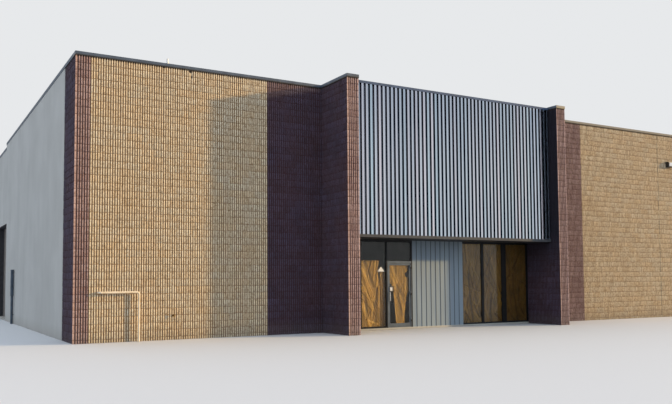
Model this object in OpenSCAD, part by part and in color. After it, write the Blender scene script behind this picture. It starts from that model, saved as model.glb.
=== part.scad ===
// Single-storey ribbed-block shop building with a recessed glazed entrance
// under a deep-ribbed metal fascia. Millimetres, Z up, front towards -Y.
// The origin is the centre of the footprint, at ground level.

/* [Outer walls] */
// Thickness of the outer walls
wall_thickness = 304.8; // [200:0.1:400]
// Whole and part courses from the ground to the top of the front wall
wall_height = 7857.6; // [7000:0.1:8400]
// Drop of the parapet towards the back of the building
parapet_step = 203.2; // [100:0.1:400]
// Distance from the front wall to that drop
step_setback = 15400; // [15100:10:17500]

/* [Plan] */
// Front wall left of the entrance, up to the projecting wing
left_front_width = 7586; // [6500:1:9000]
// Clear width of the entrance bay between the wings
bay_width = 8399; // [8399:1:9400]
// Front wall right of the entrance
right_front_width = 15000; // [9500:1:16500]
// Thickness of the two projecting wings
wing_thickness = 406.4; // [300:0.1:500]
// How far the wings stand forward of the front wall
wing_projection = 1625.6; // [1450:0.1:2000]
// Depth of the building behind the front wall
building_depth = 24384; // [22500:1:25500]
// Width of the brown corner on the front
corner_width = 406.4; // [300:0.1:600]
// Length of the brown corner along the side wall
corner_return = 1540; // [800:1:2000]

/* [Floor and roof] */
// Height of the floor above the ground outside
floor_height = 60; // [40:1:150]
// Top of the roof covering above the ground
roof_level = 7250; // [6800:1:7400]
// Thickness of the roof deck with its insulation
roof_thickness = 150; // [80:1:250]
// Depth of a roof beam
beam_depth = 530; // [400:1:700]
// Width of a roof beam flange
beam_flange_width = 165; // [120:1:220]
// Thickness of a roof beam flange
beam_flange_thickness = 12; // [8:1:20]
// Thickness of a roof beam web
beam_web_thickness = 9; // [6:1:14]
// Largest distance between roof beams
beam_spacing = 3000; // [2200:10:3600]

/* [Parapet coping] */
// Height of the coping above the masonry
coping_rise = 52; // [20:1:90]
// Face of the coping that laps down the wall
coping_drop = 48; // [20:1:90]
// Thickness of the folded coping metal
coping_metal = 12; // [3:1:16]

/* [Ribbed fascia] */
// Underside of the fascia and its soffit above the ground
soffit_level = 2980; // [2800:1:3100]
// Setback of the rib faces behind the wing fronts
fascia_setback = 405; // [250:1:500]
// Number of ribs across the bay
fascia_ribs = 53; // [40:1:60]
// Depth of a rib
fascia_rib_depth = 76; // [40:1:90]
// Width of a rib face as part of the rib spacing
fascia_face_share = 0.48; // [0.35:0.01:0.6]
// Slope of a rib flank across the panel
fascia_flank = 7; // [0:1:12]
// Thickness of the fascia metal
fascia_metal = 3; // [2:0.5:4]
// Face of the cap that laps down over the top of the ribs
fascia_cap_drop = 26; // [15:1:60]
// Height of the trim channel under the ribs
fascia_trim_height = 90; // [60:1:140]
// Thickness of the trim channel metal
fascia_trim_metal = 4; // [3:1:8]
// Size of the square tube rails behind the ribs
fascia_rail = 100; // [60:1:120]
// Number of rails behind the ribs
fascia_rail_count = 5; // [3:1:7]
// Distance from the top of the ribs up to the top of the wings
fascia_dip = 30; // [0:1:120]
// Thickness of the soffit board
soffit_thickness = 25; // [12:1:40]

/* [Entrance lintel] */
// Height of the steel lintel under the masonry over the entrance
lintel_height = 200; // [150:1:300]
// Thickness of the lintel steel
lintel_steel = 14; // [8:1:20]

/* [Shop front] */
// Depth of the shop front frames
frame_depth = 114; // [90:1:150]
// Height of the head bar
head_bar = 50; // [40:1:80]
// Height of the sill bar
sill_bar = 45; // [40:1:100]
// Width of the end posts beside the wings
end_post = 51; // [40:1:80]
// Width of the post between the first two panes
pane_post = 50; // [45:1:90]
// Width of the post at the lock side of the door
lock_post = 50; // [40:1:120]
// Width of the post at the hinge side of the door
hinge_post = 46; // [40:1:110]
// Clear width of the first pane
first_pane_width = 953; // [600:1:1050]
// Clear width of the pane beside the door
door_side_pane_width = 971; // [700:1:1000]
// Width of the door frame jambs beside the leaf
door_jamb = 23; // [18:1:40]
// Height of the bar between the door and the pane over it
transom_bar = 75; // [50:1:120]
// Width of the ribbed panel between the door and the right panes
siding_width = 2194; // [1800:1:2250]
// Width of the slim post in the right glazing
slim_post = 100; // [60:1:150]
// Width of the broad post in the right glazing
broad_post = 200; // [120:1:230]
// Clear width of each of the first two right panes
right_pane_width = 868; // [700:1:880]
// Thickness of the glass
glass_thickness = 8; // [6:1:12]
// Distance of the glass behind the face of the frames
glass_setback = 30; // [24:1:60]
// Gap between the glass and the hung paper
paper_gap = 0.3; // [0.2:0.1:1]
// Depth that the creased paper takes up
paper_depth = 40; // [20:1:50]
// Top of the paper above the floor beside the door
paper_height = 2242; // [1900:1:2400]
// Width of the strip beside the door where the paper hangs lower
low_strip = 230; // [100:1:300]
// Top of the paper above the floor in that strip
low_strip_height = 1870; // [1500:1:1900]

/* [Ribbed siding panel] */
// Distance between the ribs of the siding
siding_pitch = 203; // [150:1:250]
// Width of a siding rib at its base
siding_rib_width = 36; // [24:1:70]
// Height of a siding rib
siding_rib_height = 14; // [8:1:30]
// Thickness of the siding sheet
siding_sheet = 3; // [2:0.5:5]
// Thickness of the framed wall behind the siding
siding_wall = 110; // [90:1:150]

/* [Entrance door] */
// Width of the door leaf
leaf_width = 914; // [850:1:930]
// Height of the door leaf
leaf_height = 2134; // [2000:1:2160]
// Thickness of the door leaf
leaf_thickness = 44.5; // [40:0.5:50]
// Width of the stiles of the leaf
leaf_stile = 64; // [50:1:110]
// Height of the top rail of the leaf
leaf_top_rail = 66; // [50:1:110]
// Height of the bottom rail of the leaf
leaf_bottom_rail = 130; // [100:1:250]
// Running gap round the leaf
leaf_gap = 5; // [5:0.5:8]
// Running gap at the lock edge, where the leaf swings past the post
lock_gap = 9; // [8:0.5:12]
// Height of the metal threshold under the leaf
threshold_height = 5; // [4:1:12]
// Distance of the leaf behind the face of the frames
leaf_setback = 12; // [8:1:20]
// Distance of the hinge axis in front of the face of the frames
hinge_offset = 11; // [10:1:16]
// Radius of a hinge knuckle
knuckle_radius = 9; // [7:0.5:9.5]
// Height of one hinge knuckle
knuckle_height = 60; // [40:1:80]
// Gap between the two knuckles of a hinge
knuckle_gap = 0.3; // [0.2:0.1:0.8]
// Radius of a hinge pin
hinge_pin_radius = 4; // [3:0.5:5]
// Running clearance round a hinge pin
hinge_pin_clearance = 0.05; // [0.02:0.01:0.1]
// Half thickness of a hinge plate
hinge_plate = 4; // [3:0.5:6]
// Width of a hinge plate beyond the edge of its carrier
hinge_plate_width = 30; // [20:1:45]
// Height of the pull above the ground, at its middle
pull_level = 1090; // [950:1:1095]
// Length of the pull
pull_length = 290; // [150:1:300]
// Diameter of the pull
pull_diameter = 22; // [16:1:30]
// Distance of the pull's middle in front of the leaf
pull_reach = 45; // [35:1:60]
// Height of the lock box above the ground, at its middle
lock_level = 1343; // [1340:1:1450]
// Width of the plate under the lock box
lock_plate_width = 162; // [120:1:180]
// Height of the plate under the lock box
lock_plate_height = 184; // [150:1:188]
// Thickness of the plate under the lock box
lock_plate_thickness = 8; // [4:1:16]
// Width of the lock box
lock_box_width = 92; // [60:1:110]
// Height of the lock box
lock_box_height = 118; // [80:1:140]
// Depth of the lock box in front of its plate
lock_box_depth = 30; // [20:1:45]
// Length of the closer on the inside of the top rail
closer_length = 240; // [180:1:300]
// Depth of the closer
closer_depth = 48; // [35:1:60]

/* [Loading door] */
// Distance from the front wall to the loading doorway
loading_setback = 15000; // [14000:1:15100]
// Width of the loading doorway
loading_width = 3658; // [3000:1:4000]
// Height of the loading doorway
loading_height = 4267; // [3600:1:4500]
// Thickness of the loading door
loading_thickness = 51; // [40:1:60]
// Number of panels in the loading door
loading_panels = 7; // [5:1:9]
// Depth of the groove between two panels
loading_groove = 14; // [6:1:20]
// Lap of the loading door past the sides and head of the doorway
jamb_steel = 76; // [50:1:100]
// Thickness of the steel that lines the loading doorway
jamb_steel_thickness = 10; // [6:1:12]

/* [Wall fittings] */
// Outer diameter of the pipe on the front wall
pipe_diameter = 60; // [40:1:76]
// Distance of the pipe's middle from the wall
pipe_standoff = 120; // [80:1:150]
// Place of the pipe's wall elbow along the front
pipe_start = 650; // [500:1:900]
// Place of the pipe's upright along the front
pipe_end = 1740; // [1400:1:2200]
// Height of the pipe's level run
pipe_level = 1355; // [1000:1:1600]
// Bend radius of the pipe elbows
pipe_bend = 65; // [50:1:75]
// Place of the garden tap along the front
tap_place = 2740; // [2300:1:3600]
// Height of the garden tap
tap_level = 680; // [500:1:1000]
// Reach of the garden tap from the wall
tap_reach = 90; // [70:1:120]
// Diameter of the handwheel and wall flange of the tap
tap_wheel_diameter = 56; // [40:1:70]
// Drop of the spout below the middle of the tap
tap_spout_drop = 50; // [30:1:80]
// Place of the middle of the wall lamp from the right wing
lamp_place = 8020; // [5000:1:8500]
// Height of the middle of the wall lamp
lamp_level = 6570; // [5000:1:7000]
// Width of the wall lamp
lamp_width = 360; // [250:1:450]
// Height of the wall lamp
lamp_height = 240; // [180:1:300]
// Depth of the lamp's housing from the wall
lamp_housing_depth = 155; // [110:1:220]
// Depth of the lamp's lens in front of its housing
lamp_lens_depth = 45; // [20:1:70]
// Width of the rim round the lens
lamp_rim = 26; // [15:1:45]
// Distance of the side pipe from the front wall
side_pipe_setback = 12070; // [8000:1:13500]
// Distance of the side pipe's middle from the wall
side_pipe_standoff = 80; // [76:1:110]
// Outer diameter of the side pipe
side_pipe_diameter = 100; // [70:1:104]
// Outer diameter of the sleeve on its upper part
side_sleeve_diameter = 126; // [110:2:140]
// Height of the side pipe
side_pipe_height = 2180; // [1700:1:3000]
// Height at which the sleeve starts
side_sleeve_level = 1130; // [600:1:1300]
// Outer diameter of the roof vent
vent_diameter = 100; // [80:1:150]
// Outer diameter of the tip of its cone
vent_tip_diameter = 46; // [30:1:70]
// Height of its cone
vent_cone_height = 190; // [100:1:250]
// Height of the roof vent above the coping
vent_rise = 420; // [260:1:550]
// Place of the roof vent along the front
vent_place = 2820; // [1500:1:6000]
// Place of the roof vent behind the front wall
vent_setback = 900; // [600:1:3000]

/* [Hidden] */
$fn = 48;
wing_left_x = left_front_width;
bay_left_x = wing_left_x + wing_thickness;
bay_right_x = bay_left_x + bay_width;
wing_right_x = bay_right_x + wing_thickness;
building_width = wing_right_x + right_front_width;
rear_height = wall_height - parapet_step;
side_inner_x = building_width - wall_thickness;
rear_inner_y = building_depth - wall_thickness;
coping_top = wall_height + coping_rise;
roof_underside = roof_level - roof_thickness;
beam_bottom = roof_underside - beam_depth;
lintel_top = soffit_level + lintel_height;
fascia_front_y = -wing_projection + fascia_setback;
fascia_back_y = fascia_front_y + fascia_rib_depth;
fascia_pitch = bay_width / fascia_ribs;
fascia_bottom = soffit_level + fascia_trim_height;
fascia_top = wall_height - fascia_dip;
loading_end = loading_setback + loading_width;
side_collar_diameter = side_sleeve_diameter + 10;
side_pipe_reach = side_pipe_standoff + side_collar_diameter / 2;
origin_x = (building_width + coping_metal - side_pipe_reach) / 2;
origin_y = (building_depth - wing_projection) / 2;

frame_top = soffit_level;
pane_top = frame_top - head_bar;
pane_bottom = floor_height + sill_bar;
post_first_x = bay_left_x + end_post + first_pane_width;
post_lock_x = post_first_x + pane_post + door_side_pane_width;
door_frame_left_x = post_lock_x + lock_post;
door_left_x = door_frame_left_x + door_jamb;
door_width = lock_gap + leaf_width + leaf_gap;
door_right_x = door_left_x + door_width;
door_frame_right_x = door_right_x + door_jamb;
siding_left_x = door_frame_right_x + hinge_post;
siding_right_x = siding_left_x + siding_width;
post_slim_x = siding_right_x + right_pane_width;
post_broad_x = post_slim_x + slim_post + right_pane_width;
last_post_x = bay_right_x - end_post;
last_pane_x = post_broad_x + broad_post;
leaf_left_x = door_left_x + lock_gap;
leaf_right_x = leaf_left_x + leaf_width;
leaf_bottom = floor_height + threshold_height + leaf_gap;
leaf_top = leaf_bottom + leaf_height;
transom_bottom = leaf_top + leaf_gap;
transom_top = transom_bottom + transom_bar;
hinge_x = door_right_x - leaf_gap / 2;
hinge_y = -hinge_offset;
hinge_levels = [leaf_bottom + 180, leaf_bottom + leaf_height / 2, leaf_top - 180];

// Walls seen from above, at the two parapet levels
front_plans = [
    [0, 0, wing_left_x, wall_thickness],
    [wing_left_x, -wing_projection, bay_left_x, wall_thickness],
    [bay_right_x, -wing_projection, wing_right_x, wall_thickness],
    [wing_right_x, 0, building_width, wall_thickness],
    [0, 0, wall_thickness, step_setback],
    [side_inner_x, 0, building_width, step_setback]
];
rear_plans = [
    [0, step_setback - 1, wall_thickness, building_depth],
    [side_inner_x, step_setback - 1, building_width, building_depth],
    [0, rear_inner_y, building_width, building_depth]
];

tan_paint = [0.80, 0.66, 0.44];
brown_paint = [0.42, 0.25, 0.22];
grey_paint = [0.60, 0.63, 0.63];
coping_blue = [0.24, 0.29, 0.36];
coping_light = [0.80, 0.79, 0.75];
fascia_grey = [0.62, 0.66, 0.69];
siding_grey = [0.56, 0.54, 0.50];
black_frame = [0.07, 0.07, 0.08];
bronze_leaf = [0.45, 0.43, 0.40];
paper_brown = [0.62, 0.44, 0.22];
steel_grey = [0.45, 0.46, 0.47];
glass_tint = [0.55, 0.62, 0.64, 0.35];
concrete_grey = [0.64, 0.63, 0.60];
membrane_grey = [0.72, 0.72, 0.70];

// Moves a shape from the left front corner to the part's own origin
module placed() {
    translate([-origin_x, -origin_y, 0]) children();
}

// A plain block from one corner to the opposite one
module block_between(low, high) {
    translate(low) cube(high - low);
}

// A wall cut to its side outline, given along Y and Z, of the wall thickness
module side_wall(inner_x, outline) {
    translate([inner_x, 0, 0])
        rotate([90, 0, 90]) linear_extrude(wall_thickness) polygon(outline);
}

// One wall seen from above, as [low x, low y, high x, high y], grown all round
module wall_plan(plan, grow) {
    translate([plan[0] - grow, plan[1] - grow])
        square([plan[2] - plan[0] + 2 * grow, plan[3] - plan[1] + 2 * grow]);
}

// Sheet metal cap over walls that stand side by side: flat on top, with a leg
// down every outer face, and cut to the stretch between two corners
module coping_over(plans, top, low, high, drop = coping_drop) {
    difference() {
        intersection() {
            translate([0, 0, top - drop]) linear_extrude(drop + coping_rise)
                for (plan = plans) wall_plan(plan, coping_metal);
            translate([low[0], low[1], 0])
                cube([high[0] - low[0], high[1] - low[1], top + coping_rise + 1]);
        }
        translate([0, 0, top - drop - 1]) linear_extrude(drop + 1)
            for (plan = plans) wall_plan(plan, 0);
    }
}

module floor_slab() {
    color(concrete_grey) placed() {
        block_between([wall_thickness, wall_thickness, 0],
                      [side_inner_x, rear_inner_y, floor_height]);
        block_between([bay_left_x, 0, 0], [bay_right_x, wall_thickness, floor_height]);
        block_between([0, loading_setback, 0], [wall_thickness, loading_end, floor_height]);
    }
}

module corner_piers() {
    color(brown_paint) placed() {
        for (side = [0, 1])
            translate([side * building_width, 0, 0]) mirror([side, 0, 0])
                linear_extrude(wall_height) polygon([
                    [0, 0], [corner_width, 0], [corner_width, wall_thickness],
                    [wall_thickness, wall_thickness], [wall_thickness, corner_return],
                    [0, corner_return]
                ]);
    }
}

module front_wall_left() {
    color(tan_paint) placed()
        block_between([corner_width, 0, 0], [wing_left_x, wall_thickness, wall_height]);
}

module front_wall_right() {
    color(tan_paint) placed()
        block_between([wing_right_x, 0, 0],
                      [building_width - corner_width, wall_thickness, wall_height]);
}

module entry_wing(from_x) {
    block_between([from_x, -wing_projection, 0],
                  [from_x + wing_thickness, wall_thickness, wall_height]);
}

module entry_wing_left() {
    color(brown_paint) placed() entry_wing(wing_left_x);
}

module entry_wing_right() {
    color(brown_paint) placed() entry_wing(bay_right_x);
}

module side_wall_left_front() {
    color(grey_paint) placed()
        block_between([0, corner_return, 0], [wall_thickness, loading_setback, wall_height]);
}

module side_wall_left_header() {
    color(grey_paint) placed() side_wall(0, [
        [loading_setback, loading_height], [loading_end, loading_height],
        [loading_end, rear_height], [step_setback, rear_height],
        [step_setback, wall_height], [loading_setback, wall_height]
    ]);
}

module side_wall_left_rear() {
    color(grey_paint) placed()
        block_between([0, loading_end, 0], [wall_thickness, rear_inner_y, rear_height]);
}

module side_wall_right() {
    color(grey_paint) placed() side_wall(side_inner_x, [
        [corner_return, 0], [rear_inner_y, 0], [rear_inner_y, rear_height],
        [step_setback, rear_height], [step_setback, wall_height],
        [corner_return, wall_height]
    ]);
}

module rear_wall() {
    color(grey_paint) placed()
        block_between([0, rear_inner_y, 0], [building_width, building_depth, rear_height]);
}

module entrance_header() {
    color(brown_paint) placed()
        block_between([bay_left_x, 0, lintel_top], [bay_right_x, wall_thickness, roof_underside]);
}

// Steel I section lintel on its side flanges, wall thickness deep
module entrance_lintel() {
    color(steel_grey) placed()
        translate([bay_left_x, 0, soffit_level])
        rotate([90, 0, 90]) linear_extrude(bay_width) difference() {
            square([wall_thickness, lintel_height]);
            for (face = [0, 1])
                translate([face * (wall_thickness + lintel_steel) / 2, lintel_steel])
                    square([(wall_thickness - lintel_steel) / 2,
                            lintel_height - 2 * lintel_steel]);
        }
}

// Flat roof that runs out over the entrance bay to the back of the fascia rails
module roof_deck() {
    color(membrane_grey) placed()
        translate([0, 0, roof_underside]) linear_extrude(roof_thickness) polygon([
            [wall_thickness, wall_thickness], [bay_left_x, wall_thickness],
            [bay_left_x, fascia_back_y + fascia_rail], [bay_right_x, fascia_back_y + fascia_rail],
            [bay_right_x, wall_thickness], [side_inner_x, wall_thickness],
            [side_inner_x, rear_inner_y], [wall_thickness, rear_inner_y]
        ]);
}

module roof_beams() {
    clear_width = side_inner_x - wall_thickness;
    beam_count = ceil(clear_width / beam_spacing) - 1;
    color(steel_grey) placed()
        for (beam = [1 : beam_count])
            translate([wall_thickness + beam * clear_width / (beam_count + 1),
                       rear_inner_y, beam_bottom])
                rotate([90, 0, 0]) linear_extrude(rear_inner_y - wall_thickness) {
                    for (level = [0, beam_depth - beam_flange_thickness])
                        translate([-beam_flange_width / 2, level])
                            square([beam_flange_width, beam_flange_thickness]);
                    translate([-beam_web_thickness / 2, 0])
                        square([beam_web_thickness, beam_depth]);
                }
}

module coping_front_left() {
    color(coping_blue) placed()
        coping_over(front_plans, wall_height, [-coping_metal, -coping_metal],
                    [wing_left_x - coping_metal, wall_thickness + coping_metal]);
}

module coping_front_right() {
    color(coping_light) placed()
        coping_over(front_plans, wall_height, [wing_right_x + coping_metal, -coping_metal],
                    [building_width + coping_metal, wall_thickness + coping_metal]);
}

// The legs on the bay side stop where the fascia starts
module coping_wings() {
    color(coping_blue) placed() difference() {
        for (left_x = [wing_left_x, bay_right_x])
            coping_over(front_plans, wall_height,
                        [left_x - coping_metal, -wing_projection - coping_metal],
                        [left_x + wing_thickness + coping_metal, wall_thickness + coping_metal]);
        block_between([bay_left_x, fascia_front_y - coping_metal, 0],
                      [bay_right_x, fascia_back_y + fascia_rail, coping_top + 1]);
    }
}

module coping_sides() {
    color(coping_light) placed()
        for (left_x = [0, side_inner_x]) {
            low_x = left_x - coping_metal;
            high_x = left_x + wall_thickness + coping_metal;
            coping_over(front_plans, wall_height, [low_x, wall_thickness + coping_metal],
                        [high_x, step_setback + coping_metal]);
            coping_over(rear_plans, rear_height, [low_x, step_setback + coping_metal],
                        [high_x, rear_inner_y - coping_metal]);
        }
}

module coping_rear() {
    color(coping_light) placed()
        coping_over(rear_plans, rear_height, [-coping_metal, rear_inner_y - coping_metal],
                    [building_width + coping_metal, building_depth + coping_metal]);
}

// Outline points across one rib and the valley after it, on the outer face
function rib_points(rib) =
    let (start = rib * fascia_pitch, valley = fascia_pitch * (1 - fascia_face_share))
    [
        [start, fascia_rib_depth], [start + valley / 2 - fascia_flank, fascia_rib_depth],
        [start + valley / 2, 0], [start + fascia_pitch - valley / 2, 0],
        [start + fascia_pitch - valley / 2 + fascia_flank, fascia_rib_depth]
    ];

// Deep box ribs folded from one sheet: the outer face, and back along the inner one
module fascia_panel() {
    outer = concat([for (rib = [0 : fascia_ribs - 1]) each rib_points(rib)],
                   [[bay_width, fascia_rib_depth]]);
    color(fascia_grey) placed()
        translate([bay_left_x, fascia_front_y, fascia_bottom])
            linear_extrude(fascia_top - fascia_bottom) difference() {
                polygon(concat(outer, [[bay_width, fascia_rib_depth + fascia_metal],
                                       [0, fascia_rib_depth + fascia_metal]]));
                for (rib = [0 : fascia_ribs - 1]) rib_hollow(rib);
            }
}

// The hollow behind one rib
module rib_hollow(rib) {
    valley = fascia_pitch * (1 - fascia_face_share);
    start = rib * fascia_pitch + valley / 2 + fascia_metal;
    end = (rib + 1) * fascia_pitch - valley / 2 - fascia_metal;
    polygon([
        [start, fascia_metal], [end, fascia_metal],
        [end + fascia_flank, fascia_rib_depth + fascia_metal + 1],
        [start - fascia_flank, fascia_rib_depth + fascia_metal + 1]
    ]);
}

// Square tube rails behind the ribs, carried by the wings at their ends
module fascia_rails() {
    rail_y = fascia_back_y + fascia_metal;
    rail_span = fascia_top - fascia_cap_drop - fascia_bottom - fascia_rail;
    color(steel_grey) placed()
        for (rail = [0 : fascia_rail_count - 1])
            translate([bay_left_x, rail_y,
                       fascia_bottom + rail * rail_span / (fascia_rail_count - 1)])
                cube([bay_width, fascia_rail - fascia_metal, fascia_rail]);
}

module fascia_coping() {
    plan = [bay_left_x - coping_metal, fascia_front_y,
            bay_right_x + coping_metal, fascia_back_y + fascia_metal];
    color(coping_blue) placed()
        coping_over([plan], fascia_top, [bay_left_x, fascia_front_y - coping_metal],
                    [bay_right_x, fascia_back_y + fascia_rail], fascia_cap_drop);
}

// Channel under the ribs, open to the back, with a lip that meets the soffit
module fascia_trim() {
    depth = fascia_rib_depth;
    height = fascia_trim_height;
    metal = fascia_trim_metal;
    color(fascia_grey) placed()
        translate([bay_left_x, fascia_front_y, soffit_level])
            rotate([90, 0, 90]) linear_extrude(bay_width) polygon([
                [0, 0], [depth, 0], [depth, soffit_thickness],
                [depth - metal, soffit_thickness], [depth - metal, metal], [metal, metal],
                [metal, height - metal], [depth, height - metal], [depth, height], [0, height]
            ]);
}

module soffit() {
    color(black_frame) placed()
        block_between([bay_left_x, fascia_back_y, soffit_level],
                      [bay_right_x, 0, soffit_level + soffit_thickness]);
}

module post(from_x, width, from_z, to_z) {
    block_between([from_x, 0, from_z], [from_x + width, frame_depth, to_z]);
}

// Upright cylinder on the hinge axis
module on_hinge_axis(level, radius, height) {
    translate([hinge_x, hinge_y, level]) cylinder(r = radius, h = height);
}

// Fixed halves of the hinges: lower knuckles screwed to the door frame, with their pins
module door_hinges() {
    color(black_frame) placed()
        for (level = hinge_levels) {
            on_hinge_axis(level, knuckle_radius, knuckle_height);
            on_hinge_axis(level, hinge_pin_radius, 2 * knuckle_height + knuckle_gap);
            block_between([hinge_x, hinge_y - hinge_plate, level],
                          [door_right_x + hinge_plate_width, 0, level + knuckle_height]);
        }
}

module shopfront_frame_left() {
    color(black_frame) placed() {
        post(bay_left_x, end_post, floor_height, frame_top);
        post(post_first_x, pane_post, floor_height, frame_top);
        post(post_lock_x, lock_post, floor_height, frame_top);
        post(door_frame_left_x, door_jamb, floor_height, transom_top);
        post(door_right_x, door_jamb, floor_height, transom_top);
        post(door_frame_right_x, hinge_post, floor_height, frame_top);
        block_between([bay_left_x, 0, pane_top], [siding_left_x, frame_depth, frame_top]);
        block_between([bay_left_x, 0, floor_height], [post_lock_x, frame_depth, pane_bottom]);
        block_between([door_left_x, 0, transom_bottom], [door_right_x, frame_depth, transom_top]);
    }
}

module shopfront_frame_right() {
    color(black_frame) placed() {
        post(post_slim_x, slim_post, floor_height, frame_top);
        post(post_broad_x, broad_post, floor_height, frame_top);
        post(last_post_x, end_post, floor_height, frame_top);
        block_between([siding_right_x, 0, pane_top], [bay_right_x, frame_depth, frame_top]);
        block_between([siding_right_x, 0, floor_height], [bay_right_x, frame_depth, pane_bottom]);
    }
}

module pane(from_x, to_x, from_z, to_z) {
    block_between([from_x, glass_setback, from_z], [to_x, glass_setback + glass_thickness, to_z]);
}

module shopfront_glass() {
    color(glass_tint) placed() {
        pane(bay_left_x + end_post, post_first_x, pane_bottom, pane_top);
        pane(post_first_x + pane_post, post_lock_x, pane_bottom, pane_top);
        pane(door_frame_left_x, door_frame_right_x, transom_top, pane_top);
        pane(siding_right_x, post_slim_x, pane_bottom, pane_top);
        pane(post_slim_x + slim_post, post_broad_x, pane_bottom, pane_top);
        pane(last_pane_x, last_post_x, pane_bottom, pane_top);
    }
}

module paper_sheet(from_x, to_x, to_z) {
    back_of_glass = glass_setback + glass_thickness + paper_gap;
    block_between([from_x + paper_gap, back_of_glass, pane_bottom + paper_gap],
                  [to_x - paper_gap, back_of_glass + paper_depth, to_z - paper_gap]);
}

module window_paper() {
    side_top = floor_height + paper_height;
    color(paper_brown) placed() {
        paper_sheet(bay_left_x + end_post, post_first_x, side_top);
        paper_sheet(post_first_x + pane_post, post_lock_x - low_strip, side_top);
        paper_sheet(post_lock_x - low_strip, post_lock_x, floor_height + low_strip_height);
        paper_sheet(siding_right_x, post_slim_x, pane_top);
        paper_sheet(post_slim_x + slim_post, post_broad_x, pane_top);
        paper_sheet(last_pane_x, last_post_x, pane_top);
    }
}

// Framed wall behind the siding, from the floor to the lintel
module siding_wall_frame() {
    color(steel_grey) placed()
        block_between([siding_left_x, siding_rib_height, floor_height],
                      [siding_right_x, siding_rib_height + siding_wall, frame_top]);
}

// Folded sheet with narrow upright ribs
module siding_panel() {
    rib_count = floor(siding_width / siding_pitch);
    margin = (siding_width - rib_count * siding_pitch) / 2;
    color(siding_grey) placed()
        translate([siding_left_x, 0, floor_height]) linear_extrude(frame_top - floor_height) {
            translate([0, siding_rib_height - siding_sheet]) square([siding_width, siding_sheet]);
            for (rib = [0 : rib_count - 1])
                translate([margin + (rib + 0.5) * siding_pitch, 0])
                    polygon([
                        [-siding_rib_width / 2, siding_rib_height - siding_sheet],
                        [-siding_rib_width / 4, 0], [siding_rib_width / 4, 0],
                        [siding_rib_width / 2, siding_rib_height - siding_sheet]
                    ]);
        }
}

// Stiles and rails of the leaf with its half of each hinge
module door_leaf() {
    color(bronze_leaf) placed() {
        difference() {
            block_between([leaf_left_x, leaf_setback, leaf_bottom],
                          [leaf_right_x, leaf_setback + leaf_thickness, leaf_top]);
            block_between([leaf_left_x + leaf_stile, leaf_setback - 1,
                           leaf_bottom + leaf_bottom_rail],
                          [leaf_right_x - leaf_stile, leaf_setback + leaf_thickness + 1,
                           leaf_top - leaf_top_rail]);
        }
        for (level = hinge_levels) {
            upper = level + knuckle_height + knuckle_gap;
            difference() {
                union() {
                    on_hinge_axis(upper, knuckle_radius, knuckle_height);
                    block_between([leaf_right_x - hinge_plate_width, hinge_y - hinge_plate,
                                   upper],
                                  [hinge_x, hinge_y + hinge_plate, upper + knuckle_height]);
                }
                on_hinge_axis(upper - 1, hinge_pin_radius + hinge_pin_clearance,
                              knuckle_height + 2);
            }
            block_between([leaf_right_x - hinge_plate_width, hinge_y, upper],
                          [leaf_right_x - hinge_plate_width / 2, leaf_setback,
                           upper + knuckle_height]);
        }
    }
}

module door_glass() {
    glass_y = leaf_setback + leaf_thickness / 2 - glass_thickness;
    color(glass_tint) placed()
        block_between([leaf_left_x + leaf_stile, glass_y, leaf_bottom + leaf_bottom_rail],
                      [leaf_right_x - leaf_stile, glass_y + glass_thickness,
                       leaf_top - leaf_top_rail]);
}

module door_paper() {
    paper_y = leaf_setback + leaf_thickness / 2 + paper_gap;
    color(paper_brown) placed()
        block_between([leaf_left_x + leaf_stile + paper_gap, paper_y,
                       leaf_bottom + leaf_bottom_rail + paper_gap],
                      [leaf_right_x - leaf_stile - paper_gap,
                       leaf_setback + leaf_thickness - 1,
                       leaf_top - leaf_top_rail - paper_gap]);
}

// Pull handle on the lock stile, and over it the lock box on its plate
module door_hardware() {
    pull_radius = pull_diameter / 2;
    pull_x = leaf_left_x + leaf_stile - pull_radius;
    plate_lap = 16;
    plate_x = leaf_left_x + leaf_stile - plate_lap;
    plate_y = leaf_setback - lock_plate_thickness;
    box_margin = 6;
    color("white") placed() {
        translate([pull_x, leaf_setback - pull_reach, pull_level - pull_length / 2]) {
            cylinder(r = pull_radius, h = pull_length);
            for (end = [pull_radius, pull_length - pull_radius])
                translate([0, pull_reach, end]) rotate([90, 0, 0])
                    cylinder(r = pull_radius - 1, h = pull_reach);
        }
        translate([plate_x, 0, lock_level]) {
            block_between([0, plate_y, -lock_plate_height / 2],
                          [lock_plate_width, leaf_setback, lock_plate_height / 2]);
            block_between([box_margin, plate_y - lock_box_depth, -lock_box_height / 2],
                          [box_margin + lock_box_width, plate_y, lock_box_height / 2]);
        }
    }
}

// Closer body on the inside of the top rail, near the hinges
module door_closer() {
    inner_face = leaf_setback + leaf_thickness;
    hinge_margin = 90;
    top_margin = 8;
    closer_end = leaf_right_x - hinge_margin;
    color(black_frame) placed()
        block_between([closer_end - closer_length, inner_face, leaf_top - leaf_top_rail],
                      [closer_end, inner_face + closer_depth, leaf_top - top_margin]);
}

// Threshold between the jambs
module door_sill() {
    color(steel_grey) placed()
        block_between([door_left_x, 0, floor_height],
                      [door_right_x, frame_depth, floor_height + threshold_height]);
}

// Sectional door that closes against the inside of the wall, a groove at each joint
module loading_door() {
    door_height = loading_height + jamb_steel - floor_height;
    panel_height = door_height / loading_panels;
    color(grey_paint) placed()
        translate([wall_thickness, loading_end + jamb_steel, floor_height])
            rotate([90, 0, 0]) linear_extrude(loading_width + 2 * jamb_steel) difference() {
                square([loading_thickness, door_height]);
                for (panel = [1 : loading_panels - 1])
                    translate([-loading_groove, panel * panel_height])
                        rotate(-45) square(loading_groove * sqrt(2));
            }
}

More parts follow.
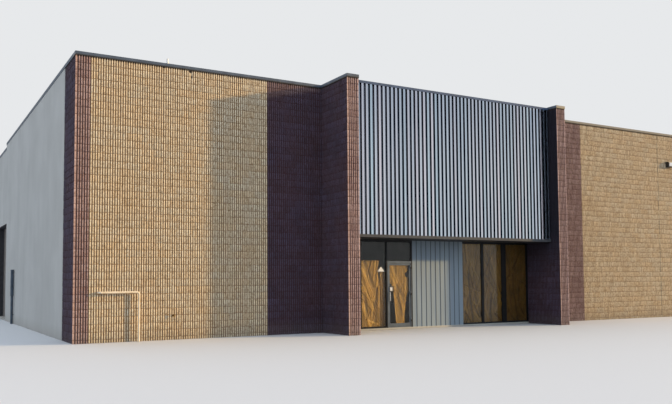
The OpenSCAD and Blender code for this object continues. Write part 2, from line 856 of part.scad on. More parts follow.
// Steel angles that line the loading doorway at its sides and head
module loading_jambs() {
    color(steel_grey) placed() difference() {
        block_between([0, loading_setback, floor_height],
                      [wall_thickness, loading_end, loading_height]);
        block_between([-1, loading_setback + jamb_steel_thickness, floor_height - 1],
                      [wall_thickness + 1, loading_end - jamb_steel_thickness,
                       loading_height - jamb_steel_thickness]);
    }
}

// Quarter bend of the front pipe, in its own plane
module pipe_elbow() {
    rotate_extrude(angle = 90) translate([pipe_bend, 0]) circle(d = pipe_diameter);
}

module wall_pipe() {
    color(tan_paint) placed() translate([0, -pipe_standoff, 0]) {
        translate([pipe_start + pipe_bend, 0, pipe_level]) rotate([0, 90, 0])
            cylinder(d = pipe_diameter, h = pipe_end - pipe_start - 2 * pipe_bend);
        translate([pipe_end - pipe_bend, 0, pipe_level - pipe_bend]) rotate([90, 0, 0])
            pipe_elbow();
        translate([pipe_end, 0, 0]) cylinder(d = pipe_diameter, h = pipe_level - pipe_bend);
        translate([pipe_start + pipe_bend, pipe_bend, pipe_level]) rotate([0, 0, 180])
            pipe_elbow();
        translate([pipe_start, pipe_bend, pipe_level]) rotate([-90, 0, 0])
            cylinder(d = pipe_diameter, h = pipe_standoff - pipe_bend);
    }
}

// Wall flange, body, spout and handwheel
module garden_tap() {
    body_radius = 13;
    spout_radius = 12;
    stem_radius = 7;
    flange = 8;
    valve_y = body_radius - tap_reach;
    wheel_rise = 38;
    color("goldenrod") placed() translate([tap_place, 0, tap_level]) {
        rotate([90, 0, 0]) cylinder(d = tap_wheel_diameter, h = flange);
        rotate([90, 0, 0]) cylinder(r = body_radius, h = tap_reach);
        translate([0, valve_y, -tap_spout_drop]) cylinder(r = spout_radius, h = tap_spout_drop);
        translate([0, valve_y, 0]) cylinder(r = stem_radius, h = wheel_rise + flange);
        translate([0, valve_y, wheel_rise]) cylinder(d = tap_wheel_diameter, h = flange);
    }
}

// Cast housing with a sloping top and a lens set in its front
module wall_lamp() {
    top_slope = lamp_height / 8;
    color(black_frame) placed()
        translate([wing_right_x + lamp_place - lamp_width / 2, 0, lamp_level - lamp_height / 2]) {
            rotate([90, 0, 90]) linear_extrude(lamp_width) polygon([
                [0, 0], [0, lamp_height], [-lamp_housing_depth, lamp_height - top_slope],
                [-lamp_housing_depth, 0]
            ]);
            block_between([lamp_rim, -lamp_housing_depth - lamp_lens_depth, lamp_rim],
                          [lamp_width - lamp_rim, -lamp_housing_depth,
                           lamp_height - top_slope - lamp_rim]);
        }
}

// Standpipe with a sleeve on its upper part, a collar at each end of the sleeve,
// and straps to the wall
module side_pipe() {
    collar_height = 40;
    strap_width = 40;
    strap_height = 25;
    sleeve_top = side_pipe_height - collar_height;
    color(grey_paint) placed() translate([0, side_pipe_setback, 0]) {
        translate([-side_pipe_standoff, 0, 0]) {
            cylinder(d = side_pipe_diameter, h = side_pipe_height);
            translate([0, 0, side_sleeve_level])
                cylinder(d = side_sleeve_diameter, h = side_pipe_height - side_sleeve_level);
            for (level = [side_sleeve_level, sleeve_top])
                translate([0, 0, level]) cylinder(d = side_collar_diameter, h = collar_height);
        }
        for (level = [side_sleeve_level / 3, sleeve_top - collar_height])
            block_between([-side_pipe_standoff, -strap_width / 2, level - strap_height],
                          [0, strap_width / 2, level]);
    }
}

// Vent pipe with a flashing cone at the roof and a pointed cap
module roof_vent() {
    flashing_height = 90;
    straight_top = coping_top + vent_rise - vent_cone_height;
    color("white") placed() translate([vent_place, vent_setback, 0]) {
        translate([0, 0, roof_level])
            cylinder(d1 = vent_diameter * 2, d2 = vent_diameter, h = flashing_height);
        translate([0, 0, roof_level]) cylinder(d = vent_diameter, h = straight_top - roof_level);
        translate([0, 0, straight_top])
            cylinder(d1 = vent_diameter, d2 = vent_tip_diameter, h = vent_cone_height);
    }
}

floor_slab();
corner_piers();
front_wall_left();
front_wall_right();
entry_wing_left();
entry_wing_right();
side_wall_left_front();
side_wall_left_header();
side_wall_left_rear();
side_wall_right();
rear_wall();
entrance_header();
entrance_lintel();
roof_deck();
roof_beams();
coping_front_left();
coping_front_right();
coping_wings();
coping_sides();
coping_rear();
fascia_panel();
fascia_rails();
fascia_coping();
fascia_trim();
soffit();
shopfront_frame_left();
shopfront_frame_right();
shopfront_glass();
door_hinges();
siding_panel();
siding_wall_frame();
window_paper();
door_leaf();
door_glass();
door_paper();
door_hardware();
door_closer();
door_sill();
loading_door();
loading_jambs();
wall_pipe();
garden_tap();
wall_lamp();
side_pipe();
roof_vent();
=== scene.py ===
import math
import random

import bpy
import numpy as np
from mathutils import Matrix, Vector


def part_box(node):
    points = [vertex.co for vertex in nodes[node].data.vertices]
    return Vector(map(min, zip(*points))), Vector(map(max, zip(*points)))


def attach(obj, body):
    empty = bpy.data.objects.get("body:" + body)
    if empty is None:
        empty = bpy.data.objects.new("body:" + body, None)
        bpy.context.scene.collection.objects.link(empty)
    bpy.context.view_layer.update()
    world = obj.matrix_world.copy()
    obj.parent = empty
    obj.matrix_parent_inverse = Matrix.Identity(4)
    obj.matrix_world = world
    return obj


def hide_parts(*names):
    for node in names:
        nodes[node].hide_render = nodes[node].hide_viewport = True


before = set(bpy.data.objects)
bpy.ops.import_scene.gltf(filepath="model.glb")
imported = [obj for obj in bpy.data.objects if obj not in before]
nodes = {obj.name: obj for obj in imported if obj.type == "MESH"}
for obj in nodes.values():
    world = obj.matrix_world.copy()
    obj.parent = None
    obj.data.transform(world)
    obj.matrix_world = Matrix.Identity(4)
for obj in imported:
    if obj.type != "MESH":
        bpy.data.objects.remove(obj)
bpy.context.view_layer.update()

BUILDING = "building"
ENTRANCE_DOOR = "entrance_door"

# Real sizes in metres
BLOCK_LENGTH = 0.4064
COURSE = 0.2032
RIBS_PER_BLOCK = 6
GROOVE_DEPTH = 0.028
GROOVE_WIDTH = 0.030
RIB_FLANK = 0.006
JOINT_DEPTH = 0.018
JOINT_HALF = 0.014
# How far a split face stands back at most, as a whole and from point to point
SPLIT_ROUGHNESS = 0.009
POINT_ROUGHNESS = 0.0025
# How far the points of a rib wander in all, sideways and where it breaks off at a joint
SIDE_WANDER = 0.006
END_WANDER = 0.010
# Darkening in a rib groove, as dirt and painted shade, and the least dirt in a bed joint, where 1
# is full
GROOVE_DIRT_AND_SHADE = 0.84
LEAST_JOINT_DIRT = 0.45
# Share of the joint's dirt that lies on the ledge over it and halfway up a block
LEDGE_SHARE = 0.25
MIDDLE_SHARE = 0.1
# Where the tan paint of the front stops and the brown paint beside each wing starts
TAN_ENDS_LEFT = 5.69
TAN_STARTS_RIGHT = 19.40
CONTROL_JOINT = 7.315
CAULK_HALF = 0.005
CAULK_RECESS = 0.012
# Broken rib faces just under the left coping: along the front, up, half width, half height
CHIPS = [(2.44, 7.785, 0.050, 0.026), (3.24, 7.76, 0.046, 0.050), (3.26, 7.61, 0.034, 0.034)]
# Their depth, how far in they are painted dark as the shade in them, and where they start to slope
# in, in half widths
CHIP_DEPTH, CHIP_DARK_REACH, CHIP_RIM = 0.02, 0.06, 1.6
# A point this near a face counts as on it
NEAR = 0.001
# What the block finish reads at each point of a wall
MARKS = ("paint", "painted_shade", "groove", "torn")
# Direction that the key light comes from: degrees right of the front's normal, and up
KEY_SIDE, KEY_UP = math.radians(66.6), math.radians(12.5)
FASCIA_RIBS = 53
RIBS_PER_SHEET = 4

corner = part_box("corner_piers")[0]
COPING_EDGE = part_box("coping_front_left")[0].z
HEM_TOP = COPING_EDGE + 0.032
# Whole courses are counted down from the coping
FIRST_JOINT = COPING_EDGE % COURSE


def from_corner(x, y, z):
    """A point given from the foot of the walls' left front corner."""
    return Vector((corner.x + x, corner.y + y, z))


def solids_of(node):
    """The boxes of a node's separate solids, from left to right, as (low, high) pairs."""
    mesh = nodes[node].data
    keys = [tuple(round(c, 4) for c in v.co) for v in mesh.vertices]
    group = {key: key for key in keys}

    def root(key):
        while group[key] != key:
            key = group[key]
        return key

    for polygon in mesh.polygons:
        first = root(keys[polygon.vertices[0]])
        for vertex in polygon.vertices[1:]:
            group[root(keys[vertex])] = first
    members = {}
    for key in group:
        members.setdefault(root(key), []).append(key)
    boxes = [(Vector(np.min(points, 0)), Vector(np.max(points, 0))) for points in members.values()]
    return sorted(boxes, key=lambda box: tuple(box[0]))


# Materials

def linear(code):
    """Linear red, green, blue and alpha of an sRGB hex colour."""
    channels = [int(code[i:i + 2], 16) / 255 for i in (1, 3, 5)]
    return [c / 12.92 if c <= 0.04045 else ((c + 0.055) / 1.055) ** 2.4 for c in channels] + [1.0]


# Sockets of the Mix node in its colour form
COLOUR_A, COLOUR_B, COLOUR_OUT = 6, 7, 2


def add(tree, kind, inputs=None, out=0, **settings):
    """An output of a new shader node, which has its settings, and its inputs set to a value or
    linked to a socket."""
    node = tree.nodes.new("ShaderNode" + kind)
    for name, value in settings.items():
        setattr(node, name, value)
    for socket, value in (inputs or {}).items():
        if isinstance(value, bpy.types.NodeSocket):
            tree.links.new(value, node.inputs[socket])
        else:
            node.inputs[socket].default_value = value
    return node.outputs[out]


def new_finish(name, roughness, metallic=0.0):
    """A material with one Principled shader, and the place on the piece as a socket."""
    material = bpy.data.materials.new(name)
    material.use_nodes = True
    tree = material.node_tree
    shader = tree.nodes["Principled BSDF"]
    shader.inputs["Roughness"].default_value = roughness
    shader.inputs["Metallic"].default_value = metallic
    return material, add(tree, "TexCoord", out="Object")


def finished(material, colour, relief, depth_mm, strength):
    """The material with its colour, and with a relief of a real depth as bump."""
    tree = colour.id_data
    shader = tree.nodes["Principled BSDF"]
    bump = add(tree, "Bump", {"Height": relief, "Distance": depth_mm / 1000,
                              "Strength": strength})
    tree.links.new(colour, shader.inputs["Base Color"])
    tree.links.new(bump, shader.inputs["Normal"])
    return material


def coated(colour, *coats):
    """A colour with coats laid over it, each of them (colour, cover, the most that it hides)
    and at times how it mixes. A colour is a hex code or a socket, and a cover runs to 1."""
    for over, cover, most, *mix in coats:
        tree = cover.id_data
        under, over = (linear(c) if isinstance(c, str) else c for c in (colour, over))
        share = add(tree, "Math", {0: cover, 1: most}, operation="MULTIPLY")
        colour = add(tree, "Mix", {0: share, COLOUR_A: under, COLOUR_B: over}, COLOUR_OUT,
                     data_type="RGBA", blend_type=mix[0] if mix else "MIX")
    return colour


def speckle(place, size_mm, detail=2.0, stretch=(1, 1, 1), low=0.35, high=0.65):
    """Noise with features of a real size, spread to run from 0 to 1."""
    tree = place.id_data
    stretched = add(tree, "VectorMath", {0: place, 1: stretch}, operation="MULTIPLY")
    noise = add(tree, "TexNoise", {"Vector": stretched, "Scale": 1000 / size_mm,
                                   "Detail": detail})
    return add(tree, "MapRange", {"Value": noise, "From Min": low, "From Max": high})


def height_band(place, low, high):
    """From 0 at the low height to 1 at the high one."""
    tree = place.id_data
    z = add(tree, "SeparateXYZ", {0: place}, 2)
    return add(tree, "MapRange", {"Value": z, "From Min": low, "From Max": high})


def strip_number(distance, start, width):
    """Which of a row of equal strips a distance falls in."""
    tree = distance.id_data
    beyond = add(tree, "Math", {0: distance, 1: -start}, operation="ADD")
    strips = add(tree, "Math", {0: beyond, 1: width}, operation="DIVIDE")
    return add(tree, "Math", {0: strips}, operation="FLOOR")


def painted_split_block():
    """Split-ribbed concrete block under masonry paint: a dull, torn face, dark grooves, lit and
    shaded copies of the paint, and each block a little lighter or darker than the next."""
    material, place = new_finish("painted_split_block", roughness=0.88)
    tree = place.id_data
    paint, painted_shade, groove, torn = (add(tree, "Attribute", out="Fac", attribute_name=mark)
                                      for mark in MARKS)
    x, y, z = add(tree, "SeparateXYZ", {0: place}).node.outputs
    course = strip_number(z, FIRST_JOINT, COURSE)
    # Along a wall only x or y changes, so their sum counts the blocks on every side
    along = add(tree, "Math", {0: x, 1: y}, operation="ADD")
    along = add(tree, "Math", {0: along, 1: BLOCK_LENGTH}, operation="DIVIDE")
    half_bond = add(tree, "Math", {0: course, 1: 0.5}, operation="MULTIPLY")
    along = add(tree, "Math", {0: along, 1: half_bond}, operation="ADD")
    along = add(tree, "Math", {0: along}, operation="FLOOR")
    block = add(tree, "CombineXYZ", {0: along, 1: course})
    shade = add(tree, "TexWhiteNoise", {"Vector": block}, noise_dimensions="2D")
    weather = speckle(place, 900, detail=4)
    grain = speckle(place, 14, detail=3)
    # Torn stones are about 20 mm wide, and are drawn as 50 mm flecks so that they show
    flecks = speckle(place, 50, detail=3, low=0.50, high=0.62)
    # Lit and shaded copies of the paint, mixed by the painted shade: the tan greys, and the brown
    # goes from its pale lit copy to a deep bluish shaded copy
    tan = coated("#FFE7BD", ("#FFF0CE", shade, 1), ("#EBD0A2", weather, 0.15),
                 ("#A8977C", painted_shade, 1))
    lit_brown = coated("#C0A096", ("#CDB0A6", shade, 1))
    deep = coated("#4C4454", ("#5A5267", shade, 1))
    brown = coated(lit_brown, (deep, painted_shade, 1), ("#6B4C4A", weather, 0.3))
    # Grooves and bed joints darken towards this colour: dirt in the joints, dirt and painted shade
    # in the rib grooves
    groove_dirt_and_shade = coated("#6A4210", ("#3A0F08", paint, 1))
    splash = height_band(place, 0.45, 0.0)
    # Where the painted shade runs above 1 the paint turns near black, as the deep shade under the
    # fascia
    recess_shade = add(tree, "MapRange", {"Value": painted_shade, "From Min": 1, "From Max": 2})
    # The first few centimetres under the coping are darker, as soot and as the coping's painted
    # shadow
    soot_and_coping_shadow = height_band(place, COPING_EDGE - 0.045, COPING_EDGE - 0.025)
    colour = coated(tan, (brown, paint, 1), ("#A0866A", torn, 0.22, "MULTIPLY"),
                    ("#9E886A", flecks, 0.46, "MULTIPLY"), (groove_dirt_and_shade, groove, 0.95),
                    ("#6E675E", splash, 0.25), ("#0E1220", recess_shade, 1), ("#3A2E28", soot_and_coping_shadow, 0.75))
    # Each chip is painted near black, as the shade inside it
    for chip_x, chip_z, half_width, half_height in CHIPS:
        off = add(tree, "VectorMath", {0: place, 1: -from_corner(chip_x, 0, chip_z)},
                  operation="ADD")
        shares = (1 / half_width, 1 / CHIP_DARK_REACH, 1 / half_height)
        off = add(tree, "VectorMath", {0: off, 1: shares}, operation="MULTIPLY")
        far = add(tree, "VectorMath", {0: off}, "Value", operation="LENGTH")
        chip = add(tree, "MapRange", {"Value": far, "From Min": 1.0, "From Max": 0.8})
        colour = coated(colour, ("#211A17", chip, 1))
    return finished(material, colour, grain, 3.0, 0.7)


def painted_render():
    """Cement render under pale grey masonry paint: dull and almost even, with soft trowel
    waves, faint rain stains down it and splash stains along its foot."""
    material, place = new_finish("painted_render", roughness=0.82)
    patches = speckle(place, 1600, detail=3)
    sand = speckle(place, 6, detail=2)
    streaks = speckle(place, 500, detail=4, stretch=(1, 1, 0.12), low=0.48, high=0.72)
    splash = height_band(place, 0.40, 0.0)
    colour = coated("#B9B7AF", ("#C3C1B9", patches, 1), ("#A3A49B", streaks, 0.22),
                    ("#8F897B", splash, 0.35))
    return finished(material, colour, sand, 1.2, 0.5)


def coil_coated_sheet(name, face, worn, roughness=0.42, hem_top=None, rib_front=None):
    """Factory-painted folded steel: a low, even gloss with chalky rain marks down it, a folded hem
    at its lower edge painted darker as soot and shade, and ribs that stand out of it painted
    dark as the shadow lines beside them."""
    material, place = new_finish(name, roughness)
    tree = place.id_data
    chalk = speckle(place, 260, detail=4, stretch=(1, 1, 0.15))
    colour = coated(face, (worn, chalk, 0.55))
    if rib_front is not None:
        # The fronts of the ribs are painted dark, as the thin shadows that the ribs throw
        foot, crest = rib_front + 0.009, rib_front + 0.004
        y = add(tree, "SeparateXYZ", {0: place}, 1)
        on_rib = add(tree, "MapRange", {"Value": y, "From Min": foot, "From Max": crest})
        colour = coated(colour, ("#2F3A40", on_rib, 0.8))
    if hem_top is not None:
        # The hem is painted darker, as soot and as its own shade
        fades_over = 0.01
        hem = height_band(place, hem_top, hem_top - fades_over)
        colour = coated(colour, ("#2A2725", hem, 0.85))
    waves = speckle(place, 420, detail=1)
    return finished(material, colour, waves, 1.5, 0.35)


def ribbed_fascia_sheet():
    """Deep-ribbed steel with a bright metallic coating. It mirrors what is round it softly, so
    the faces are pale, one rib a little pinker or bluer than the next. The flanks are painted
    near black as shade, most of all towards the front, less deep in the valleys, which the
    valley floor lights."""
    material, place = new_finish("metallic_coated_fascia_sheet", roughness=0.14, metallic=0.9)
    tree = place.id_data
    low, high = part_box("fascia_panel")
    rib_width = (high.x - low.x) / FASCIA_RIBS
    x, y = add(tree, "SeparateXYZ", {0: place}).node.outputs[:2]
    rib_tone, sheet_tone = (
        add(tree, "TexWhiteNoise", {"W": strip_number(x, low.x, width)}, noise_dimensions="1D")
        for width in (rib_width, RIBS_PER_SHEET * rib_width))
    chalk = speckle(place, 180, detail=4, stretch=(1, 1, 0.08))
    upper = height_band(place, 5.0, high.z)
    facing = add(tree, "NewGeometry", out="Normal")
    sideways = add(tree, "SeparateXYZ", {0: facing})
    flank = add(tree, "Math", {0: sideways}, operation="ABSOLUTE")
    flank = add(tree, "MapRange", {"Value": flank, "From Min": 0.2, "From Max": 0.8})
    outward = add(tree, "MapRange", {"Value": y, "From Min": high.y, "From Max": low.y,
                                     "To Min": 0.62, "To Max": 1.15})
    # Painted shade on the flanks, strongest towards the front
    darkening = add(tree, "Math", {0: flank, 1: outward}, operation="MULTIPLY")
    colour = coated("#BFD3E0", ("#DCD8E2", rib_tone, 1), ("#A9B4C6", sheet_tone, 0.40),
                    ("#9DAAB9", chalk, 0.25), ("#8799B4", upper, 0.35), ("#12151B", darkening, 1))
    waves = speckle(place, 500, detail=1)
    return finished(material, colour, waves, 2.0, 0.4)


def anodised_aluminium(name, face):
    """Extruded aluminium with a coloured anodised skin: a satin metal sheen with fine draw
    lines along it, drawn 3 mm apart here so that they show."""
    material, place = new_finish(name, roughness=0.38, metallic=0.55)
    draw_lines = speckle(place, 3, detail=1, stretch=(1, 1, 0.01))
    # Grime in soft patches
    darkening = speckle(place, 220, detail=3)
    colour = coated(face, ("#5B564E", darkening, 0.30, "MULTIPLY"))
    return finished(material, colour, draw_lines, 0.1, 0.3)


def float_glass():
    """Clear float glass with a faint green body. Lamp light passes straight through it, so
    that the paper behind it is lit as in daylight. Its IOR is below the usual 1.52, so that
    the pale floor and backdrop veil the paper less."""
    material, place = new_finish("float_glass", roughness=0.02)
    tree = place.id_data
    shader = tree.nodes["Principled BSDF"]
    shader.inputs["IOR"].default_value = 1.33
    shader.inputs["Transmission Weight"].default_value = 1.0
    film = speckle(place, 350, detail=4, low=0.3, high=0.8)
    tree.links.new(coated("#F0F3F0", ("#DFE4E0", film, 1)), shader.inputs["Base Color"])
    clear = add(tree, "BsdfTransparent", {0: linear("#E2E6E3")})
    is_shadow = add(tree, "LightPath", out="Is Shadow Ray")
    both = add(tree, "MixShader", {0: is_shadow, 1: shader.outputs[0], 2: clear})
    tree.links.new(both, tree.nodes["Material Output"].inputs["Surface"])
    return material


def kraft_paper():
    """Unbleached kraft paper off a roll: warm brown with short fibres, with painted light on the
    raised folds and painted shade in their pockets."""
    material, place = new_finish("kraft_paper", roughness=0.68)
    tree = place.id_data
    # The fold mark paints light on the raised folds and shade in their pockets
    fold = add(tree, "Attribute", out="Fac", attribute_name="fold")
    fibres = speckle(place, 9, detail=3, stretch=(1, 1, 0.3))
    blotches = speckle(place, 240, detail=3)
    colour = coated("#46300C", ("#C0923C", fold, 1), ("#8A5A18", blotches, 0.30),
                    ("#B5843C", fibres, 0.15))
    return finished(material, colour, fibres, 0.5, 0.4)


def roof_membrane():
    """Welded single-ply roofing, off-white and chalky, greyed where rain stands and dries."""
    material, place = new_finish("roof_membrane", roughness=0.75)
    ponds = speckle(place, 2600, detail=4, low=0.42, high=0.62)
    grit = speckle(place, 30, detail=2)
    colour = coated("#C3C3BE", ("#9C9A92", ponds, 0.6), ("#8C8A84", grit, 0.2))
    return finished(material, colour, grit, 1.0, 0.3)


def floated_concrete():
    """Floor slab: cement grey, float marks and darker worn patches."""
    material, place = new_finish("floated_concrete", roughness=0.70)
    patches = speckle(place, 1200, detail=4)
    grit = speckle(place, 12, detail=3)
    colour = coated("#A6A39A", ("#BBB8AE", patches, 1), ("#8B887F", grit, 0.25))
    return finished(material, colour, grit, 0.8, 0.4)


def primed_steel():
    """Shop primer on rolled steel: flat grey with thin rubbed patches and spots of rust."""
    material, place = new_finish("primed_steel", roughness=0.62)
    rubbed = speckle(place, 160, detail=4)
    rust = speckle(place, 60, detail=5, low=0.62, high=0.75)
    colour = coated("#5E6062", ("#74767A", rubbed, 1), ("#6B4028", rust, 0.7))
    return finished(material, colour, rubbed, 0.6, 0.3)


def painted_steel(name, face, worn, roughness=0.5):
    """Brush-painted steel: a soft gloss, brush marks, and rust where the paint has gone."""
    material, place = new_finish(name, roughness)
    fade = speckle(place, 140, detail=4)
    rust = speckle(place, 35, detail=5, low=0.64, high=0.74)
    brush = speckle(place, 5, detail=1, stretch=(1, 1, 0.2))
    colour = coated(face, (worn, fade, 1), ("#7A4A2C", rust, 0.15))
    return finished(material, colour, brush, 0.2, 0.4)


def weathered_brass():
    """Cast brass left outdoors: brown-green skin with bright metal on the rubbed parts."""
    material, place = new_finish("weathered_brass", roughness=0.5, metallic=0.8)
    skin = speckle(place, 18, detail=4)
    return finished(material, coated("#8A6A34", ("#4E4630", skin, 1)), skin, 0.6, 0.4)


def moulded_plastic(name, face, aged, roughness=0.45):
    """Moulded plastic, even and slightly glossy, yellowed or dusted by the weather."""
    material, place = new_finish(name, roughness)
    dust = speckle(place, 60, detail=4)
    texture = speckle(place, 2, detail=1)
    return finished(material, coated(face, (aged, dust, 0.5)), texture, 0.1, 0.3)


def sheathing_board():
    """Plywood sheathing: pale bands of grain along the sheet."""
    material, place = new_finish("sheathing_board", roughness=0.8)
    grain = speckle(place, 12, detail=4, stretch=(1, 1, 0.06))
    return finished(material, coated("#8E7148", ("#B2935F", grain, 1)), grain, 0.5, 0.4)


split_block = painted_split_block()
dark_coping = coil_coated_sheet("dark_coping_sheet", "#3E4958", "#5B6878", hem_top=HEM_TOP)
light_coping = coil_coated_sheet("light_coping_sheet", "#848077", "#78736A", roughness=0.8,
                                 hem_top=HEM_TOP)
bronze_frame = anodised_aluminium("bronze_anodised_aluminium", "#5F6871")
mill_aluminium = anodised_aluminium("mill_aluminium", "#A5A5A2")
paper = kraft_paper()
membrane = roof_membrane()
white_plastic = moulded_plastic("white_plastic", "#F2F1EC", "#D8D5C8")
black_plastic = moulded_plastic("black_plastic", "#17171A", "#2C2C2E")
rubber = moulded_plastic("gasket_rubber", "#101012", "#1E1E20", roughness=0.7)

# Each finish of the CAD nodes that stay in view, and those nodes
FINISHES = [
    (floated_concrete(), ["floor_slab"]),
    (painted_render(), ["side_wall_left_front", "side_wall_left_header", "side_wall_left_rear",
                        "side_wall_right", "rear_wall", "entrance_header"]),
    (membrane, ["roof_deck"]),
    (primed_steel(), ["entrance_lintel", "roof_beams", "fascia_rails"]),
    (dark_coping, ["coping_front_left", "coping_wings"]),
    (light_coping, ["coping_front_right"]),
    (coil_coated_sheet("side_coping_sheet", "#46525F", "#55606B", roughness=0.6),
     ["coping_sides", "coping_rear"]),
    (ribbed_fascia_sheet(), ["fascia_panel"]),
    (coil_coated_sheet("slate_blue_cap_sheet", "#3A4C66", "#506484", roughness=0.8),
     ["fascia_coping"]),
    (coil_coated_sheet("trim_sheet", "#3C3E42", "#4C4D50", roughness=0.8), ["fascia_trim"]),
    # The soffit sheet is near black, painted as the shade under the fascia
    (coil_coated_sheet("soffit_panel_painted_shade", "#191A1E", "#26272B", roughness=0.6), ["soffit"]),
    (coil_coated_sheet("siding_sheet", "#8D9BA3", "#7C8A95", roughness=0.7,
                       rib_front=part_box("siding_panel")[0].y), ["siding_panel"]),
    (sheathing_board(), ["siding_wall_frame"]),
    (anodised_aluminium("black_anodised_aluminium", "#15161A"),
     ["shopfront_frame_left", "shopfront_frame_right", "door_hinges", "door_closer"]),
    (float_glass(), ["shopfront_glass", "door_glass"]),
    (bronze_frame, ["door_leaf"]),
    (mill_aluminium, ["door_sill"]),
    (painted_steel("white_enamel", "#F4F3EF", "#E2E0D8", roughness=0.3), ["door_hardware"]),
    (painted_steel("loading_door_paint", "#6E6862", "#7D766E"), ["loading_door"]),
    (painted_steel("black_frame_paint", "#26262A", "#34343A"), ["loading_jambs"]),
    (painted_steel("cream_pipe_paint", "#F3E2C6", "#E2CCA8"), ["wall_pipe"]),
    (painted_steel("blue_grey_pipe_paint", "#33404C", "#465564"), ["side_pipe"]),
    (painted_steel("lamp_housing_paint", "#1B1B1D", "#2B2A29", roughness=0.45), ["wall_lamp"]),
    (weathered_brass(), ["garden_tap"]),
    (white_plastic, ["roof_vent"]),
]


def dress_nodes():
    """Gives each CAD node that stays in view its finish."""
    for finish, names in FINISHES:
        for name in names:
            mesh = nodes[name].data
            mesh.materials.clear()
            mesh.materials.append(finish)


# Shapes

def in_scene(name, data):
    """An object of the scene with the given data."""
    item = bpy.data.objects.new(name, data)
    bpy.context.scene.collection.objects.link(item)
    return item


def new_piece(name, mesh, finish, body=BUILDING, bevel=0.0):
    """A visible piece that rides a body, with its finish and the width of its rounded edges."""
    mesh.materials.append(finish)
    mesh.validate()
    piece = in_scene(name, mesh)
    if bevel:
        rounding = piece.modifiers.new("rounded_edges", "BEVEL")
        rounding.width = bevel
        rounding.segments = 2
        rounding.limit_method = "ANGLE"
    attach(piece, body)
    return piece


def mark_points(mesh, label, values):
    """Stores one value for each point of a mesh, for its finish to read."""
    attribute = mesh.attributes.new(label, "FLOAT", "POINT")
    attribute.data.foreach_set("value", values.astype(np.float32))


def grid_quads(rows, columns, steps):
    """Quads between rows of points. With as many steps as columns the rows close to rings."""
    row, column = np.meshgrid(np.arange(rows - 1), np.arange(steps), indexing="ij")
    here, after = row * columns + column, row * columns + (column + 1) % columns
    return np.stack([here, after, after + columns, here + columns], -1).reshape(-1, 4)


def shell_faces(rings, columns, first):
    """Quads between rings of points from a first point on, and the faces of the two ends."""
    quads = grid_quads(rings, columns, columns) + first
    foot = [first + i for i in reversed(range(columns))]
    crown = [first + (rings - 1) * columns + i for i in range(columns)]
    return quads.tolist(), [foot, crown]


class Shape:
    """Gathers flat-sided solids into one mesh."""

    def __init__(self):
        self.points = []
        self.faces = []

    def prism(self, outline, depth):
        """A closed outline of points swept along a depth vector."""
        quads, ends = shell_faces(2, len(outline), len(self.points))
        self.faces += ends + quads
        self.points += [Vector(p) for p in outline]
        self.points += [Vector(p) + Vector(depth) for p in outline]

    def strip(self, low, high):
        """A straight bar between two corners."""
        (x0, y0, z0), (x1, y1, z1) = low, high
        self.prism([(x0, y0, z0), (x1, y0, z0), (x1, y1, z0), (x0, y1, z0)], (0, 0, z1 - z0))

    def turned(self, centre, axis, profile, sides):
        """A profile of (distance along the axis, radius) pairs turned about an axis."""
        turn = Vector(axis).to_track_quat("Z", "Y").to_matrix()
        quads, ends = shell_faces(len(profile), sides, len(self.points))
        self.faces += quads + ends
        for along, radius in profile:
            for side in range(sides):
                angle = 2 * math.pi * side / sides
                ring = Vector((radius * math.cos(angle), radius * math.sin(angle), along))
                self.points.append(Vector(centre) + turn @ ring)

    def piece(self, name, finish, slot, body=BUILDING, bevel=0.0):
        """All of it as one visible piece."""
        mesh = bpy.data.meshes.new(name)
        mesh.from_pydata(self.points, [], self.faces)
        new_piece(name, mesh, finish, body, bevel)


# Split-ribbed block walls

SOLID, OPEN = True, False
# Each side of an outline numbers its ribs from the next hundred
SIDE_NUMBERS = 100


def side_stations(length, starts_solid, ends_solid):
    """Distances along one ribbed side, each with 1 in a groove and 0 on a rib, and its rib."""
    ribs = round(length / (BLOCK_LENGTH / RIBS_PER_BLOCK))
    pitch = length / ribs
    stations = []
    for rib in range(ribs):
        start = rib * pitch + GROOVE_WIDTH / 2
        end = (rib + 1) * pitch - GROOVE_WIDTH / 2
        if rib or not starts_solid:
            stations += [(start, 1, rib), (start + RIB_FLANK, 0, rib)]
        if rib < ribs - 1 or not ends_solid:
            stations += [(end - RIB_FLANK, 0, rib), (end, 1, rib)]
    return stations


def outline_stations(outline):
    """Points round a wall seen from above, anticlockwise: place, way in, groove share, rib.

    Each corner of the outline is (x, y, side), and the side that starts there is None where
    it is plain, or (starts_solid, ends_solid) where it has ribs."""
    sides = []
    for (x, y, ribbed), after in zip(outline, outline[1:] + outline[:1]):
        start = Vector((x, y))
        step = Vector(after[:2]) - start
        along = step.normalized()
        sides.append((start, step.length, along, Vector((-along.y, along.x)), ribbed))
    stations = []
    for i, (start, length, along, inward, ribbed) in enumerate(sides):
        inward_before, ribbed_before = sides[i - 1][3:]
        open_end = ribbed_before is not None and not ribbed_before[1]
        open_start = ribbed is not None and not ribbed[0]
        way_in = inward_before * open_end + inward * open_start
        stations.append((start, way_in, int(open_end or open_start), -1))
        if ribbed is not None:
            for distance, share, rib in side_stations(length, *ribbed):
                stations.append((start + along * distance, inward, share, rib + SIDE_NUMBERS * i))
    return stations


def wall_levels(top):
    """Heights of the rows of points, each with its share of joint dirt, which is 1 in a bed
    joint and lies thinly on the ledge above it, and its course."""
    levels = [(0.0, 0, 0)]
    joint, course, below = FIRST_JOINT, 0, 0.0
    while joint < top - COURSE / 2:
        levels += [((below + joint) / 2, MIDDLE_SHARE, course), (joint - JOINT_HALF, 0, course),
                   (joint, 1, course), (joint + JOINT_HALF, LEDGE_SHARE, course + 1)]
        below = joint
        joint += COURSE
        course += 1
    levels += [((below + top) / 2, 0, course), (top, 0, course)]
    return levels


def exposed(x, z):
    """No painted shade, for a front that the key light reaches."""
    return np.zeros_like(x * z)


